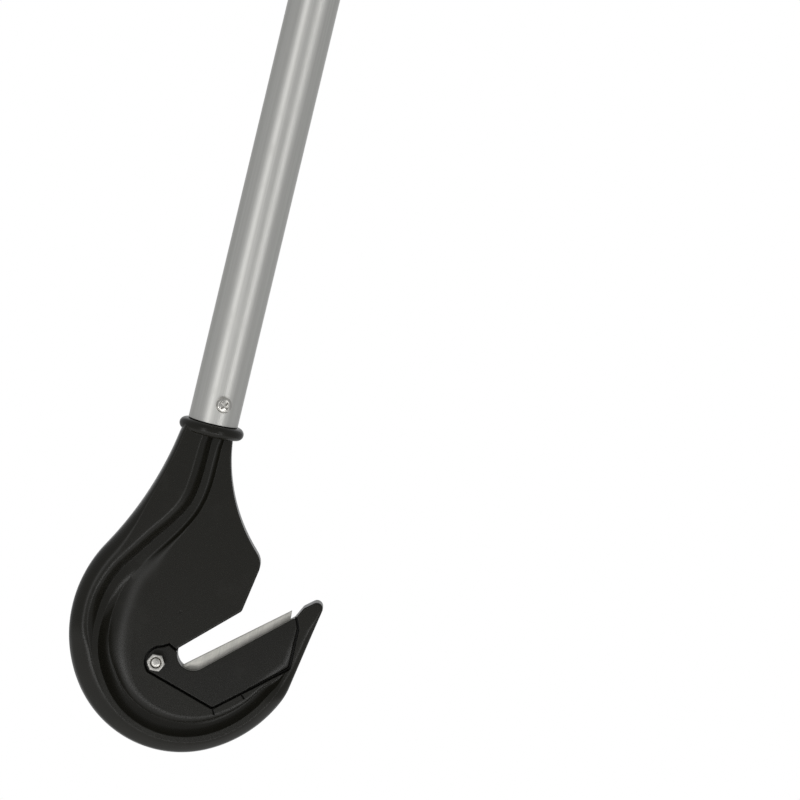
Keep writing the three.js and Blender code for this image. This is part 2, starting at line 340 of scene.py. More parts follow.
class Recipe:
    """A node tree being put together, with short ways to add a node and join two sockets."""

    def __init__(self, tree):
        self.tree = tree

    def add(self, kind, inputs=None, **settings):
        made = self.tree.nodes.new("ShaderNode" + kind)
        for name, value in settings.items():
            setattr(made, name, value)
        for name, value in (inputs or {}).items():
            if isinstance(value, bpy.types.NodeSocket):
                self.tree.links.new(value, made.inputs[name])
            else:
                made.inputs[name].default_value = value
        return made

    def math(self, operation, first, second):
        return self.add("Math", {0: first, 1: second}, operation=operation).outputs[0]

    def remap(self, value, low, high, to_low=0.0, to_high=1.0, smooth=False):
        made = self.add(
            "MapRange",
            {"Value": value, 1: low, 2: high, 3: to_low, 4: to_high},
            interpolation_type="SMOOTHSTEP" if smooth else "LINEAR",
        )
        return made.outputs[0]

    def stretch(self, vector, scale, turn=(0, 0, 0)):
        made = self.add("Mapping", {"Vector": vector, "Scale": scale, "Rotation": turn})
        return made.outputs[0]

    def noise(self, vector, scale, detail=3.0, roughness=0.5):
        made = self.add(
            "TexNoise",
            {"Vector": vector, "Scale": scale, "Detail": detail, "Roughness": roughness},
        )
        return made.outputs["Fac"]

    def blend(self, share, first, second):
        made = self.add("Mix", {0: share, 6: first, 7: second}, data_type="RGBA")
        return made.outputs[2]


def group(name, inputs, outputs):
    """An empty shader node group with named sockets, and its recipe, source and sink."""
    tree = bpy.data.node_groups.new(name, "ShaderNodeTree")
    for socket, kind, value in inputs:
        made = tree.interface.new_socket(name=socket, in_out="INPUT", socket_type=kind)
        if value is not None:
            made.default_value = value
    for socket, kind in outputs:
        tree.interface.new_socket(name=socket, in_out="OUTPUT", socket_type=kind)
    source = tree.nodes.new("NodeGroupInput").outputs
    sink = tree.nodes.new("NodeGroupOutput").inputs
    return tree, Recipe(tree), source, sink


FLOAT = "NodeSocketFloat"
VECTOR = "NodeSocketVector"


def make_grain():
    """Fine moulding grain with a broad unevenness under it."""
    tree, recipe, source, sink = group(
        "moulded_grain",
        [("Vector", VECTOR, None), ("Grain Scale", FLOAT, 3000.0), ("Swell", FLOAT, 0.5)],
        [("Height", FLOAT), ("Shade", FLOAT)],
    )
    fine = recipe.noise(source["Vector"], source["Grain Scale"], 2.0)
    broad = recipe.noise(source["Vector"], 60.0, 2.0)
    swell = recipe.math("MULTIPLY", broad, source["Swell"])
    recipe.tree.links.new(recipe.math("ADD", fine, swell), sink["Height"])
    recipe.tree.links.new(recipe.remap(fine, 0.3, 0.7), sink["Shade"])
    return tree


def make_smudges():
    """Cloudy patches where dust and handling have dulled a surface."""
    tree, recipe, source, sink = group(
        "smudges",
        [("Vector", VECTOR, None), ("Size", FLOAT, 45.0), ("Cover", FLOAT, 0.5)],
        [("Mask", FLOAT)],
    )
    cloud = recipe.noise(source["Vector"], source["Size"], 5.0, 0.6)
    low = recipe.math("SUBTRACT", 0.75, recipe.math("MULTIPLY", source["Cover"], 0.4))
    high = recipe.math("ADD", low, 0.25)
    recipe.tree.links.new(recipe.remap(cloud, low, high, smooth=True), sink["Mask"])
    return tree


def make_scratches():
    """Sparse hair lines in two directions."""
    tree, recipe, source, sink = group(
        "hair_scratches",
        [("Vector", VECTOR, None), ("Amount", FLOAT, 0.5)],
        [("Mask", FLOAT)],
    )
    lines = []
    for turn, scale in ((0.6, (90, 90, 2600)), (-0.9, (60, 60, 2100))):
        along = recipe.stretch(source["Vector"], scale, (0, turn, 0.3))
        line = recipe.noise(along, 1.0, 2.0)
        patch = recipe.noise(source["Vector"], 70.0 + 20 * turn, 2.0)
        thin = recipe.remap(line, 0.66, 0.72)
        lines.append(recipe.math("MULTIPLY", thin, recipe.remap(patch, 0.5, 0.65)))
    both = recipe.math("MAXIMUM", *lines)
    recipe.tree.links.new(recipe.math("MULTIPLY", both, source["Amount"]), sink["Mask"])
    return tree


def make_edge_wear():
    """Edges rubbed bare in places: where a rounded normal leaves the face's own."""
    tree, recipe, source, sink = group(
        "edge_wear",
        [("Vector", VECTOR, None), ("Radius", FLOAT, 0.0006), ("Amount", FLOAT, 0.5)],
        [("Mask", FLOAT), ("Normal", VECTOR)],
    )
    softened = recipe.add("Bevel", {"Radius": source["Radius"]}, samples=6)
    flat = recipe.add("NewGeometry").outputs["Normal"]
    same = recipe.add(
        "VectorMath",
        {0: softened.outputs[0], 1: flat},
        operation="DOT_PRODUCT",
    )
    edge = recipe.remap(same.outputs["Value"], 0.995, 0.9, smooth=True)
    broken = recipe.remap(recipe.noise(source["Vector"], 420.0, 4.0, 0.6), 0.45, 0.62)
    worn = recipe.math("MULTIPLY", edge, broken)
    recipe.tree.links.new(recipe.math("MULTIPLY", worn, source["Amount"]), sink["Mask"])
    recipe.tree.links.new(softened.outputs[0], sink["Normal"])
    return tree


def make_drawn_lines():
    """Long fine lines along a stretched direction, as drawing or grinding leaves."""
    tree, recipe, source, sink = group(
        "drawn_lines",
        [("Vector", VECTOR, None)],
        [("Lines", FLOAT), ("Bands", FLOAT)],
    )
    fine = recipe.noise(source["Vector"], 1.0, 3.0, 0.6)
    broad = recipe.noise(recipe.stretch(source["Vector"], (0.12, 0.12, 0.12)), 1.0, 2.0)
    recipe.tree.links.new(fine, sink["Lines"])
    recipe.tree.links.new(broad, sink["Bands"])
    return tree


GRAIN = make_grain()
SMUDGES = make_smudges()
SCRATCHES = make_scratches()
EDGE_WEAR = make_edge_wear()
DRAWN_LINES = make_drawn_lines()


def new_material(name):
    """A material with its recipe, its Principled shader and its Object coordinates."""
    material = bpy.data.materials.new(name)
    material.use_nodes = True
    recipe = Recipe(material.node_tree)
    shader = material.node_tree.nodes["Principled BSDF"]
    where = recipe.add("TexCoord").outputs["Object"]
    return material, recipe, shader, where


def use_group(recipe, tree, **inputs):
    made = recipe.add("Group", node_tree=tree)
    for name, value in inputs.items():
        socket = made.inputs[name.replace("_", " ")]
        if isinstance(value, bpy.types.NodeSocket):
            recipe.tree.links.new(value, socket)
        else:
            socket.default_value = value
    return made.outputs


PLASTIC_GLOSS = 0.36                   # a little under common plastic's 0.5


def moulded(name, dark, dusty, worn, low, high, grain_scale, depth, cover):
    """Moulded plastic or rubber: grain, dull patches, hair scratches and rubbed edges."""
    material, recipe, shader, where = new_material(name)
    grain = use_group(recipe, GRAIN, Vector=where, Grain_Scale=grain_scale, Swell=2.0)
    patches = use_group(recipe, SMUDGES, Vector=where, Size=38.0, Cover=cover)
    hair = use_group(recipe, SCRATCHES, Vector=where, Amount=0.12)
    wear = use_group(recipe, EDGE_WEAR, Vector=where, Radius=0.0005, Amount=0.35)
    colour = recipe.blend(patches["Mask"], dark, dusty)
    marks = recipe.math("MAXIMUM", wear["Mask"], hair["Mask"])
    colour = recipe.blend(marks, colour, worn)
    dull = recipe.remap(patches["Mask"], 0.0, 1.0, low, high)
    rough = recipe.math("ADD", dull, recipe.math("MULTIPLY", grain["Shade"], 0.05))
    bump = recipe.add(
        "Bump",
        {"Strength": 1.0, "Distance": depth, "Height": grain["Height"], "Normal": wear["Normal"]},
    )
    recipe.tree.links.new(colour, shader.inputs["Base Color"])
    recipe.tree.links.new(rough, shader.inputs["Roughness"])
    recipe.tree.links.new(bump.outputs[0], shader.inputs["Normal"])
    shader.inputs["Specular IOR Level"].default_value = PLASTIC_GLOSS
    return material


def metal(name, bright, dull, low, high, lines, line_depth, scratches, turn=(0, 0, 0)):
    """Bare metal with fine lines along one direction, patches and hair scratches."""
    material, recipe, shader, where = new_material(name)
    drawn = use_group(recipe, DRAWN_LINES, Vector=recipe.stretch(where, lines, turn))
    patches = use_group(recipe, SMUDGES, Vector=where, Size=60.0, Cover=0.5)
    hair = use_group(recipe, SCRATCHES, Vector=where, Amount=scratches)
    wear = use_group(recipe, EDGE_WEAR, Vector=where, Radius=0.0002, Amount=0.6)
    tone = recipe.math("MULTIPLY", recipe.math("ADD", drawn["Lines"], drawn["Bands"]), 0.5)
    colour = recipe.blend(recipe.remap(tone, 0.35, 0.65), dull, bright)
    colour = recipe.blend(recipe.math("MULTIPLY", patches["Mask"], 0.35), colour, dull)
    marks = recipe.math("MAXIMUM", wear["Mask"], hair["Mask"])
    colour = recipe.blend(recipe.math("MULTIPLY", marks, 0.5), colour, bright)
    rough = recipe.remap(tone, 0.3, 0.7, low, high)
    rough = recipe.math("ADD", rough, recipe.math("MULTIPLY", patches["Mask"], 0.08))
    bump = recipe.add(
        "Bump",
        {
            "Strength": 1.0,
            "Distance": line_depth,
            "Height": drawn["Lines"],
            "Normal": wear["Normal"],
        },
    )
    recipe.tree.links.new(colour, shader.inputs["Base Color"])
    recipe.tree.links.new(rough, shader.inputs["Roughness"])
    recipe.tree.links.new(bump.outputs[0], shader.inputs["Normal"])
    shader.inputs["Metallic"].default_value = 1.0
    return material


BLACK_PLASTIC = moulded(
    "black_plastic",
    dark=(0.0108, 0.0100, 0.0066, 1),
    dusty=(0.0140, 0.0131, 0.0092, 1),
    worn=(0.05, 0.048, 0.044, 1),
    low=0.24,
    high=0.32,
    grain_scale=2600.0,
    depth=0.000006,
    cover=0.5,
)
COVER_PLASTIC = moulded(
    "cover_plastic",
    dark=(0.0080, 0.0074, 0.0048, 1),
    dusty=(0.0108, 0.0101, 0.0068, 1),
    worn=(0.05, 0.048, 0.044, 1),
    low=0.25,
    high=0.33,
    grain_scale=2200.0,
    depth=0.000016,
    cover=0.5,
)
GRIP_RUBBER = moulded(
    "grip_rubber",
    dark=(0.011, 0.011, 0.011, 1),
    dusty=(0.030, 0.029, 0.027, 1),
    worn=(0.045, 0.043, 0.040, 1),
    low=0.68,
    high=0.85,
    grain_scale=1500.0,
    depth=0.00004,
    cover=0.6,
)
BRUSHED_TUBE = metal(
    "brushed_tube",
    bright=(0.84, 0.835, 0.80, 1),
    dull=(0.72, 0.715, 0.68, 1),
    low=0.34,
    high=0.44,
    lines=(2600, 2600, 9),
    line_depth=0.000006,
    scratches=0.35,
)
BLADE_STEEL = metal(
    "blade_steel",
    bright=(0.80, 0.78, 0.72, 1),
    dull=(0.62, 0.61, 0.56, 1),
    low=0.26,
    high=0.40,
    lines=(2200, 900, 120),
    line_depth=0.000006,
    scratches=0.7,
    turn=(0, math.radians(BLADE_ANGLE), 0),
)
PLATED_STEEL = metal(
    "plated_steel",
    bright=(0.80, 0.78, 0.74, 1),
    dull=(0.55, 0.54, 0.50, 1),
    low=0.18,
    high=0.32,
    lines=(700, 700, 700),
    line_depth=0.000005,
    scratches=0.4,
)


def settle(piece, material, slot, body, *nodes, angle=32):
    """Smooths a finished piece, gives it its material and sets it in the place of solids."""
    bpy.ops.object.select_all(action="DESELECT")
    piece.select_set(True)
    bpy.context.view_layer.objects.active = piece
    bpy.ops.object.shade_smooth_by_angle(angle=math.radians(angle))
    weighted = piece.modifiers.new("weighted", "WEIGHTED_NORMAL")
    weighted.keep_sharp = True
    bpy.ops.object.modifier_apply(modifier=weighted.name)
    piece.data.materials.clear()
    piece.data.materials.append(material)
    for polygon in piece.data.polygons:
        polygon.material_index = 0
    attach(piece, body)
    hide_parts(*nodes)
    return piece


# ---- The hooked head ---------------------------------------------------------------------------

NECK_LEFT = (-14.9, -7.9)
OUTER_ARCS = ((180, -21.7), (65.3, 67.3), (54.8, 80.6), (66.7, 37.9))
NOSE_FOOT_ARC = (34, 12.6)
NOSE_TIP = (76, -70.6, 3)
NOSE_INNER = (65.4, -79.4, 2)
JAW_STEP = (62.2, -85.8, 2.5)
UPPER_JAW_LOWER = (35.8, -88.2, 3)
UPPER_JAW_UPPER = (40.1, -62.2, 9)
NECK_RIGHT = (35.5, -57.2)
NECK_RIGHT_ARC = (85, -37.7)
THROAT_CENTRE = (17.4, -115)
THROAT_RADIUS = 8
THROAT_HEADING = BLADE_ANGLE + 1 + 180
THROAT_SWEEP = -143
COVER_SWEEP = -127                     # as far as the cover follows the throat

# The rim's section, from the neck (share 0) round the disc to the nose's foot (share 1). Going in
# from the outer edge there are a rounding, the crown as far as its shoulder, a step down to a
# ledge, a slope down to its foot, and a dish that rises to the web. The first six rows say how far
# in each of them ends. Hollow is 1 where the rounding is a cone and the slope is steepest at its
# top, and 0 where the rounding is an ellipse and the slope is steepest at its foot.
RIM_SHARE = (0, 0.04, 0.08, 0.12, 0.16, 0.20, 0.26, 0.36, 0.40, 0.44, 0.48, 0.56, 0.64, 0.76, 0.86, 1)
RIM_SHAPE = {
    "rounding": (2.5, 2.5, 2.5, 2.5, 3, 5, 7.5, 7.3, 7.3, 7.6, 10.5, 10.3, 8.9, 6.8, 5.4, 5),
    "shoulder": (10, 11, 13, 15, 13, 10, 8.5, 8.1, 8, 8.4, 10.9, 10.6, 9.1, 7, 5.6, 5.2),
    "ledge": (16, 17.8, 20.2, 21.8, 19.6, 16.6, 14.2, 13.5, 13.2, 12.6, 11.9, 10.9, 9.4, 7.3, 5.9, 5.5),
    "slope": (19, 20, 23, 24.8, 23.5, 21, 17.6, 16.5, 16.5, 15.5, 14.5, 13.5, 11.6, 9.5, 8.4, 7.8),
    "foot": (21.6, 23.5, 26.2, 27.4, 26, 23.5, 20, 20.5, 20.2, 19.8, 19.4, 19.2, 17.8, 15.8, 13.9, 12),
    "dish": (21.9, 23.9, 26.8, 28, 26.6, 26, 32, 33.5, 33, 32.5, 32, 27.5, 23.5, 20, 16.8, 13.5),
    "ledge_height": (4.6, 4.4, 4.2, 4, 4, 4, 4, 5, 7, 9.6, 11.5, 12, 12, 12, 12, 12),
    "foot_height": (6, 6, 6, 6, 5.9, 5.4, 4, 3.2, 3, 3, 3.3, 4.0, 4.8, 5.1, 5.3, 5.6),
    "hollow": (0, 0, 0, 0, 0, 0, 0, 0.2, 0.5, 0.8, 1, 1, 1, 1, 1, 1),
}
# The same sizes along every other edge of the head.
PLAIN_SHAPE = {
    "rounding": 1.0,
    "shoulder": 1.05,
    "ledge": 1.15,
    "slope": 1.25,
    "foot": 1.4,
    "dish": 1.6,
    "ledge_height": WEB_HALF,
    "foot_height": WEB_HALF,
    "hollow": 0,
}
# The conical rounding's points: shares of its width in from the edge, and of its height down.
CONE = (
    (0, 1),
    (0.03, 0.8),
    (0.08, 0.62),
    (0.15, 0.48),
    (0.25, 0.37),
    (0.48, 0.22),
    (0.72, 0.09),
    (0.87, 0.025),
    (1, 0),
)
RIM_ROUND_HEIGHT = 9.5                # rounding of the rim's outer edge, along Y
EDGE_ROUND_HEIGHT = 1.0               # and of every other edge of the head
NOSE_ROUND = 3.0                      # what the nose's outer edge is rounded by beyond that
RUN_OUT = 17.0                        # length over which the rim runs out into the nose
SLOPE_STEPS = 7
DISH_STEPS = 5


def throat_point(sweep):
    """A point of the throat's round end, by the sweep to it from the lower jaw."""
    angle = math.radians(THROAT_HEADING + 90 + sweep)
    x = THROAT_CENTRE[0] + THROAT_RADIUS * math.cos(angle)
    z = THROAT_CENTRE[1] + THROAT_RADIUS * math.sin(angle)
    return x, z


def draw_throat(pen, sweep):
    """The round inner end of the throat, from the lower jaw on."""
    pen.line(*throat_point(0))
    pen.heading = math.radians(THROAT_HEADING)
    return pen.arc(THROAT_RADIUS, sweep, 0.8)


def smooth_share(share):
    share = min(1.0, max(0.0, share))
    return share * share * (3 - 2 * share)


def rim_size(name, share):
    """One of the rim's sizes at a share of its way, by straight lines between the stated ones."""
    sizes = RIM_SHAPE[name]
    for i in range(1, len(RIM_SHARE)):
        if share <= RIM_SHARE[i]:
            part = (share - RIM_SHARE[i - 1]) / (RIM_SHARE[i] - RIM_SHARE[i - 1])
            return sizes[i - 1] + (sizes[i] - sizes[i - 1]) * part
    return sizes[-1]


def section(share, past, nose):
    """The head's section at a station: (distance in from the edge, half thickness) of each row.

    Share is the way round the rim, past the distance beyond its end, and nose is 1 along the
    nose's outer edge and 0 away from it.
    """
    raised = 1 - smooth_share(past / RUN_OUT)
    shape = {}
    for name, plain in PLAIN_SHAPE.items():
        if nose and name not in ("ledge_height", "foot_height", "hollow"):
            plain += NOSE_ROUND * nose
        shape[name] = plain + (rim_size(name, share) - plain) * raised
    top = WEB_HALF + (RIM_HALF - WEB_HALF) * raised
    edge_height = EDGE_ROUND_HEIGHT + NOSE_ROUND * 0.8 * nose
    round_height = edge_height + (RIM_ROUND_HEIGHT - edge_height) * raised
    rows = []
    for step, (along, down) in enumerate(CONE):
        angle = math.pi / 2 * step / (len(CONE) - 1)
        round_across = 1 - math.cos(angle)
        round_down = 1 - math.sin(angle)
        across = round_across + (along - round_across) * shape["hollow"]
        below = round_down + (down - round_down) * shape["hollow"]
        rows.append((shape["rounding"] * across, top - round_height * below))
    rows.append(((shape["rounding"] + shape["shoulder"]) / 2, top))
    rows.append((shape["shoulder"], top))
    for step in range(1, SLOPE_STEPS + 1):
        part = step / SLOPE_STEPS
        across = shape["shoulder"] + (shape["ledge"] - shape["shoulder"]) * part
        rows.append((across, top - (top - shape["ledge_height"]) * part ** 2))
    rows.append((shape["ledge"] * 0.7 + shape["slope"] * 0.3, shape["ledge_height"]))
    rows.append((shape["slope"], shape["ledge_height"]))
    drop = shape["ledge_height"] - shape["foot_height"]
    for step in range(1, SLOPE_STEPS + 1):
        part = step / SLOPE_STEPS
        across = shape["slope"] + (shape["foot"] - shape["slope"]) * part
        bulging = part ** 2
        sagging = 1 - (1 - part) ** 1.8
        share_down = bulging + (sagging - bulging) * shape["hollow"]
        rows.append((across, shape["ledge_height"] - drop * share_down))
    for step in range(1, DISH_STEPS + 1):
        part = step / DISH_STEPS
        across = shape["foot"] + (shape["dish"] - shape["foot"]) * part
        rows.append((across, WEB_HALF - (WEB_HALF - shape["foot_height"]) * (1 - part) ** 2))
    return rows


def averaged(sections, reach):
    """Each station's section averaged with its neighbours', which takes out the corners."""
    count = len(sections)
    result = []
    for i in range(count):
        near = sections[max(0, i - reach):min(count, i + reach + 1)]
        rows = zip(*near)
        result.append([tuple(sum(part) / len(near) for part in zip(*row)) for row in rows])
    return result


def draw_head():
    pen = Pen("hook_head_look", NECK_LEFT[0] + 1, NECK_TOP, 270)
    pen.line(*NECK_LEFT, 1.6)
    pen.heading = math.radians(261.1)
    for radius, sweep in OUTER_ARCS:
        pen.arc(radius, sweep)
    rim_end = place(pen.x, pen.z)
    pen.arc(*NOSE_FOOT_ARC)
    pen.corners([NOSE_TIP, NOSE_INNER, JAW_STEP, throat_point(0)], 1.8, 0.6)
    draw_throat(pen, THROAT_SWEEP)
    pen.corners([UPPER_JAW_LOWER, UPPER_JAW_UPPER, NECK_RIGHT], 2.5, 0.8)
    pen.heading = math.radians(134.5)
    pen.arc(*NECK_RIGHT_ARC, 2)
    pen.line(11.3, NECK_TOP)
    return pen, rim_end


def fill_web(piece, last):
    """Closes the selected row from its last station to its first and fills it with one flat face."""
    mesh = bmesh.from_edit_mesh(piece.data)
    station = mesh.verts.layers.int["station"]
    row = [vertex.index for vertex in mesh.verts if vertex.select]
    ends = [vertex.index for vertex in mesh.verts if vertex.select and vertex[station] in (0, last)]
    for chosen in (ends, row):
        select_vertices(piece, lambda vertex, chosen=set(chosen): vertex.index in chosen)
        bpy.ops.mesh.edge_face_add()
    bpy.ops.mesh.mark_sharp()


def make_head_shell():
    """The web with its rim and rounded edges: rows of vertices drawn in from the outline."""
    pen, rim_end = draw_head()
    piece = pen.piece
    outline = number_stations(piece)
    inward = left_normals(outline, closed=False)
    inward[0] = Vector((1, 0, 0))
    inward[-1] = Vector((-1, 0, 0))
    ways = [0.0]
    for here, there in zip(outline, outline[1:]):
        ways.append(ways[-1] + (there - here).length / MM)
    end = min(range(len(outline)), key=lambda i: (outline[i] - rim_end).length)
    rim_way = ways[end]
    tip = min(range(len(outline)), key=lambda i: (outline[i] - place(*NOSE_TIP[:2])).length)
    nose_end = ways[tip] - 6
    sections = []
    for way in ways:
        past = max(0.0, way - rim_way)
        nose = smooth_share((nose_end - way) / 12) if past else 0
        sections.append(section(min(1.0, way / rim_way), past, nose))
    sections = averaged(sections, 3)
    bpy.ops.mesh.select_all(action="SELECT")
    for row in range(len(sections[0])):
        places = []
        for spot, normal, rows in zip(outline, inward, sections):
            across, height = rows[row]
            places.append(spot + normal * across * MM + FRONT * height * MM)
        bpy.ops.mesh.extrude_region_move(TRANSFORM_OT_translate={"value": (0, 0, 0)})
        put_stations(piece, places)
    fill_web(piece, len(outline) - 1)
    close_piece()
    drop_stations(piece)
    mirror = piece.modifiers.new("mirror", "MIRROR")
    mirror.use_axis = (False, True, False)
    mirror.merge_threshold = 1e-6
    bpy.ops.object.modifier_apply(modifier=mirror.name)
    open_piece(piece)
    select_edges(piece, lambda edge: edge.is_boundary)
    bpy.ops.mesh.edge_face_add()
    bpy.ops.mesh.select_mode(type="VERT")
    bpy.ops.mesh.select_all(action="SELECT")
    bpy.ops.mesh.normals_make_consistent(inside=False)
    close_piece()
    return piece


def make_flange():
    """The collar under the tube, and the spigot inside it."""
    low = -CLEARANCE - 6
    high = -CLEARANCE
    middle = (low + high) / 2
    profile = [(0, low), (13.0, low)]
    profile += rounded(13.3, middle, 3.0, -80, 80, 12)
    profile += [(13.0, high), (SPIGOT_RADIUS, high), (SPIGOT_RADIUS, 40.5)]
    profile += [(SPIGOT_RADIUS - 1.5, 42), (0, 42)]
    return turned("flange", profile, place(0, 0))


def draw_cover(name, throat=True):
    """The cover plate's outline, from the upper jaw round its boss and back along the throat.

    The recess that it lies in is open to the throat, so its outline goes straight across it.
    """
    pen = Pen(name, *throat_point(COVER_SWEEP))
    pen.line(4.6, -113.1)
    pen.line(1.6, -114.9)
    pen.heading = math.radians(190)
    pen.arc(7.6, 126, 0.9)
    pen.corners(
        [
            (32.6, -138.4, 1.5),
            (65, -110.4, 1.2),
            (64.6, -90, 3),
            (62.4, -84.8, 1),
            throat_point(0),
        ]
    )
    if throat:
        draw_throat(pen, COVER_SWEEP)
    else:
        pen.line(*throat_point(COVER_SWEEP))
    return pen


def blade_point(along, depth):
    """A point of the blade: along its cutting edge from the middle, and in from the edge."""
    angle = math.radians(BLADE_ANGLE)
    x = BLADE_CENTRE[0] + along * math.cos(angle) + depth * math.sin(angle)
    z = BLADE_CENTRE[1] + along * math.sin(angle) - depth * math.cos(angle)
    return x, z


def draw_blade(name, notches):
    """The blade's outline: a trapezoid with its spine's two notches, if wanted."""
    corners = [(-31, 0), (-17, 19)]
    if notches:
        for centre in (-6, 6):
            for side, depth in ((-1, 19), (-1, 16.2), (1, 16.2), (1, 19)):
                corners.append((centre + side * 1.7, depth))
    corners += [(17, 19), (31, 0)]
    pen = Pen(name, *blade_point(*corners[0]))
    for corner in corners[1:] + corners[:1]:
        pen.line(*blade_point(*corner), 4)
    return pen


def make_head():
    head = make_head_shell()
    dimple = [(0, -0.35), (0.6, -0.3), (0.9, 0.1), (0.9, 1), (0, 1)]
    carve(head, turned("dimple", dimple, place(6.2, -95.4, -WEB_HALF), FRONT, sides=24))
    for x, z, length, turn in ((33.6, -140.2, 3.4, 66), (46.1, -129.5, 3.0, 45)):
        carve(head, block("spur", (length, 8, 0.9), place(x, z, -7.2), turn))
    carve(head, plate(draw_cover("recess", throat=False), -14, -BLADE_HALF, outward=1.1))
    carve(head, plate(draw_blade("pocket", False), -12, BLADE_HALF + CLEARANCE, outward=0.5))
    hole = [(0, -13), (BOLT_RADIUS + CLEARANCE, -13), (BOLT_RADIUS + CLEARANCE, 13), (0, 13)]
    back = Vector((0, 1, 0))
    carve(head, turned("hole", hole, place(*BOLT), back, sides=48))
    carve(head, hexagon("hex_pocket", HEX_ACROSS + 2 * CLEARANCE, BOLT, 3.5, 13))
    for along in (-6, 6):
        peg = [(0, 0)] + [(1.3, 0), (1.3, 1.0), (1.0, 1.3), (0, 1.3)]
        foot = place(*blade_point(along, 17.9), 1.0)
        carve(head, turned("peg", peg, foot, FRONT, sides=24), "UNION")
    carve(head, make_flange(), "UNION")
    carve(head, screw_hole())
    return settle(head, BLACK_PLASTIC, "black_plastic", "handle", "hook_head")


def screw_axis():
    angle = math.radians(SCREW_ANGLE)
    return Vector((math.sin(angle), -math.cos(angle), 0))


def screw_hole():
    hole = [(0, 0), (2.4, 0), (2.4, 15), (0, 15)]
    return turned("screw_hole", hole, place(0, SCREW_HEIGHT), screw_axis(), UP, 32)


# ---- Cover, blade and their clamp --------------------------------------------------------------


def make_cover():
    cover = plate(draw_cover("blade_cover_look"), -WEB_HALF, -BLADE_HALF - CLEARANCE)
    corner = [((63.2, -90.5), (60.9, -107.9)), ((60.9, -107.9), (53.4, -117.4))]
    drop = math.radians(24)
    for high, low in corner:
        along = (place(*low) - place(*high)).normalized()
        outward = Vector((-along.z, 0, along.x))
        facing = FRONT * math.cos(drop) + outward * math.sin(drop)
        open_piece(cover)
        bpy.ops.mesh.select_all(action="SELECT")
        bpy.ops.mesh.bisect(
            plane_co=place(*high, -WEB_HALF),
            plane_no=facing,
            use_fill=True,
            clear_outer=True,
        )
        close_piece()
    hole = [(0, -2), (2.8, -2), (2.8, 5.6), (3.5, 6.3), (3.5, 8), (0, 8)]
    carve(cover, turned("hole", hole, place(*BOLT), FRONT, sides=64))
    bevel_edges(cover, cover_rim_edge, 0.45)
    return settle(cover, COVER_PLASTIC, "cover_plastic", "cover", "blade_cover")


def cover_rim_edge(edge):
    """The edges between the cover's front and its sides, apart from the bolt hole's."""
    if len(edge.link_faces) != 2:
        return False
    first, second = (face.normal for face in edge.link_faces)
    faces_front = max(-first.y, -second.y) > 0.85
    faces_side = min(abs(first.y), abs(second.y)) < 0.05
    middle = (edge.verts[0].co + edge.verts[1].co) / 2
    off_bolt = math.hypot(middle.x - place(*BOLT).x, middle.z - place(*BOLT).z) > 4.5 * MM
    return faces_front and faces_side and off_bolt


def make_blade():
    """The trapezoid blade, its cutting edge ground from the front to a flat and a fine land."""
    blade = plate(draw_blade("cutting_blade_look", True), -BLADE_HALF, BLADE_HALF)
    into = Vector((*blade_point(0, 1), 0)) - Vector((*blade_point(0, 0), 0))
    into = Vector((into.x, 0, into.y))
    for width, lift in ((1.7, 0.26), (0.6, 0.08)):
        tilt = math.atan2(2 * BLADE_HALF - lift, width)
        facing = FRONT * math.cos(tilt) - into * math.sin(tilt)
        open_piece(blade)
        bpy.ops.mesh.select_all(action="SELECT")
        bpy.ops.mesh.bisect(
            plane_co=place(*blade_point(0, 0), BLADE_HALF - lift),
            plane_no=facing,
            use_fill=True,
            clear_outer=True,
        )
        close_piece()
    return settle(blade, BLADE_STEEL, "blade_steel", "blade", "cutting_blade", angle=8)


def make_bolt():
    """A hexagon bolt from the back, threaded up to its rounded end."""
    pitch = 0.8
    depth = 0.3
    start = 3.8
    profile = [(0, -start - 3), (2.2, -start - 3), (2.2, -start + 0.6), (BOLT_RADIUS, -start + 1)]
    turns = 14
    first = -3.2
    for i in range(turns):
        height = first + i * pitch
        profile += [
            (BOLT_RADIUS, height),
            (BOLT_RADIUS - depth, height + 0.35 * pitch),
            (BOLT_RADIUS - depth, height + 0.5 * pitch),
            (BOLT_RADIUS, height + 0.85 * pitch),
        ]
    end = 10.9
    profile += [(BOLT_RADIUS, end - 2.6), (BOLT_RADIUS, end - 0.9)]
    profile += rounded(BOLT_RADIUS - 0.9, end - 0.9, 0.9, 0, 75, 5)
    profile += [(1.0, end - 0.02), (0, end)]
    bolt = turned("clamp_bolt_look", profile, place(*BOLT), FRONT, sides=48)
    head = hexagon("head", HEX_ACROSS, BOLT, 3.8, 7.3)
    cone = [(0, -8), (3.9, -7.3), (4.7, -6.6), (4.7, -3.9), (4.5, -3.6), (0, -3.6)]
    carve(head, turned("cone", cone, place(*BOLT), FRONT, sides=96), "INTERSECT")
    carve(bolt, head, "UNION")
    return settle(bolt, PLATED_STEEL, "plated_steel", "handle", "clamp_bolt", angle=25)


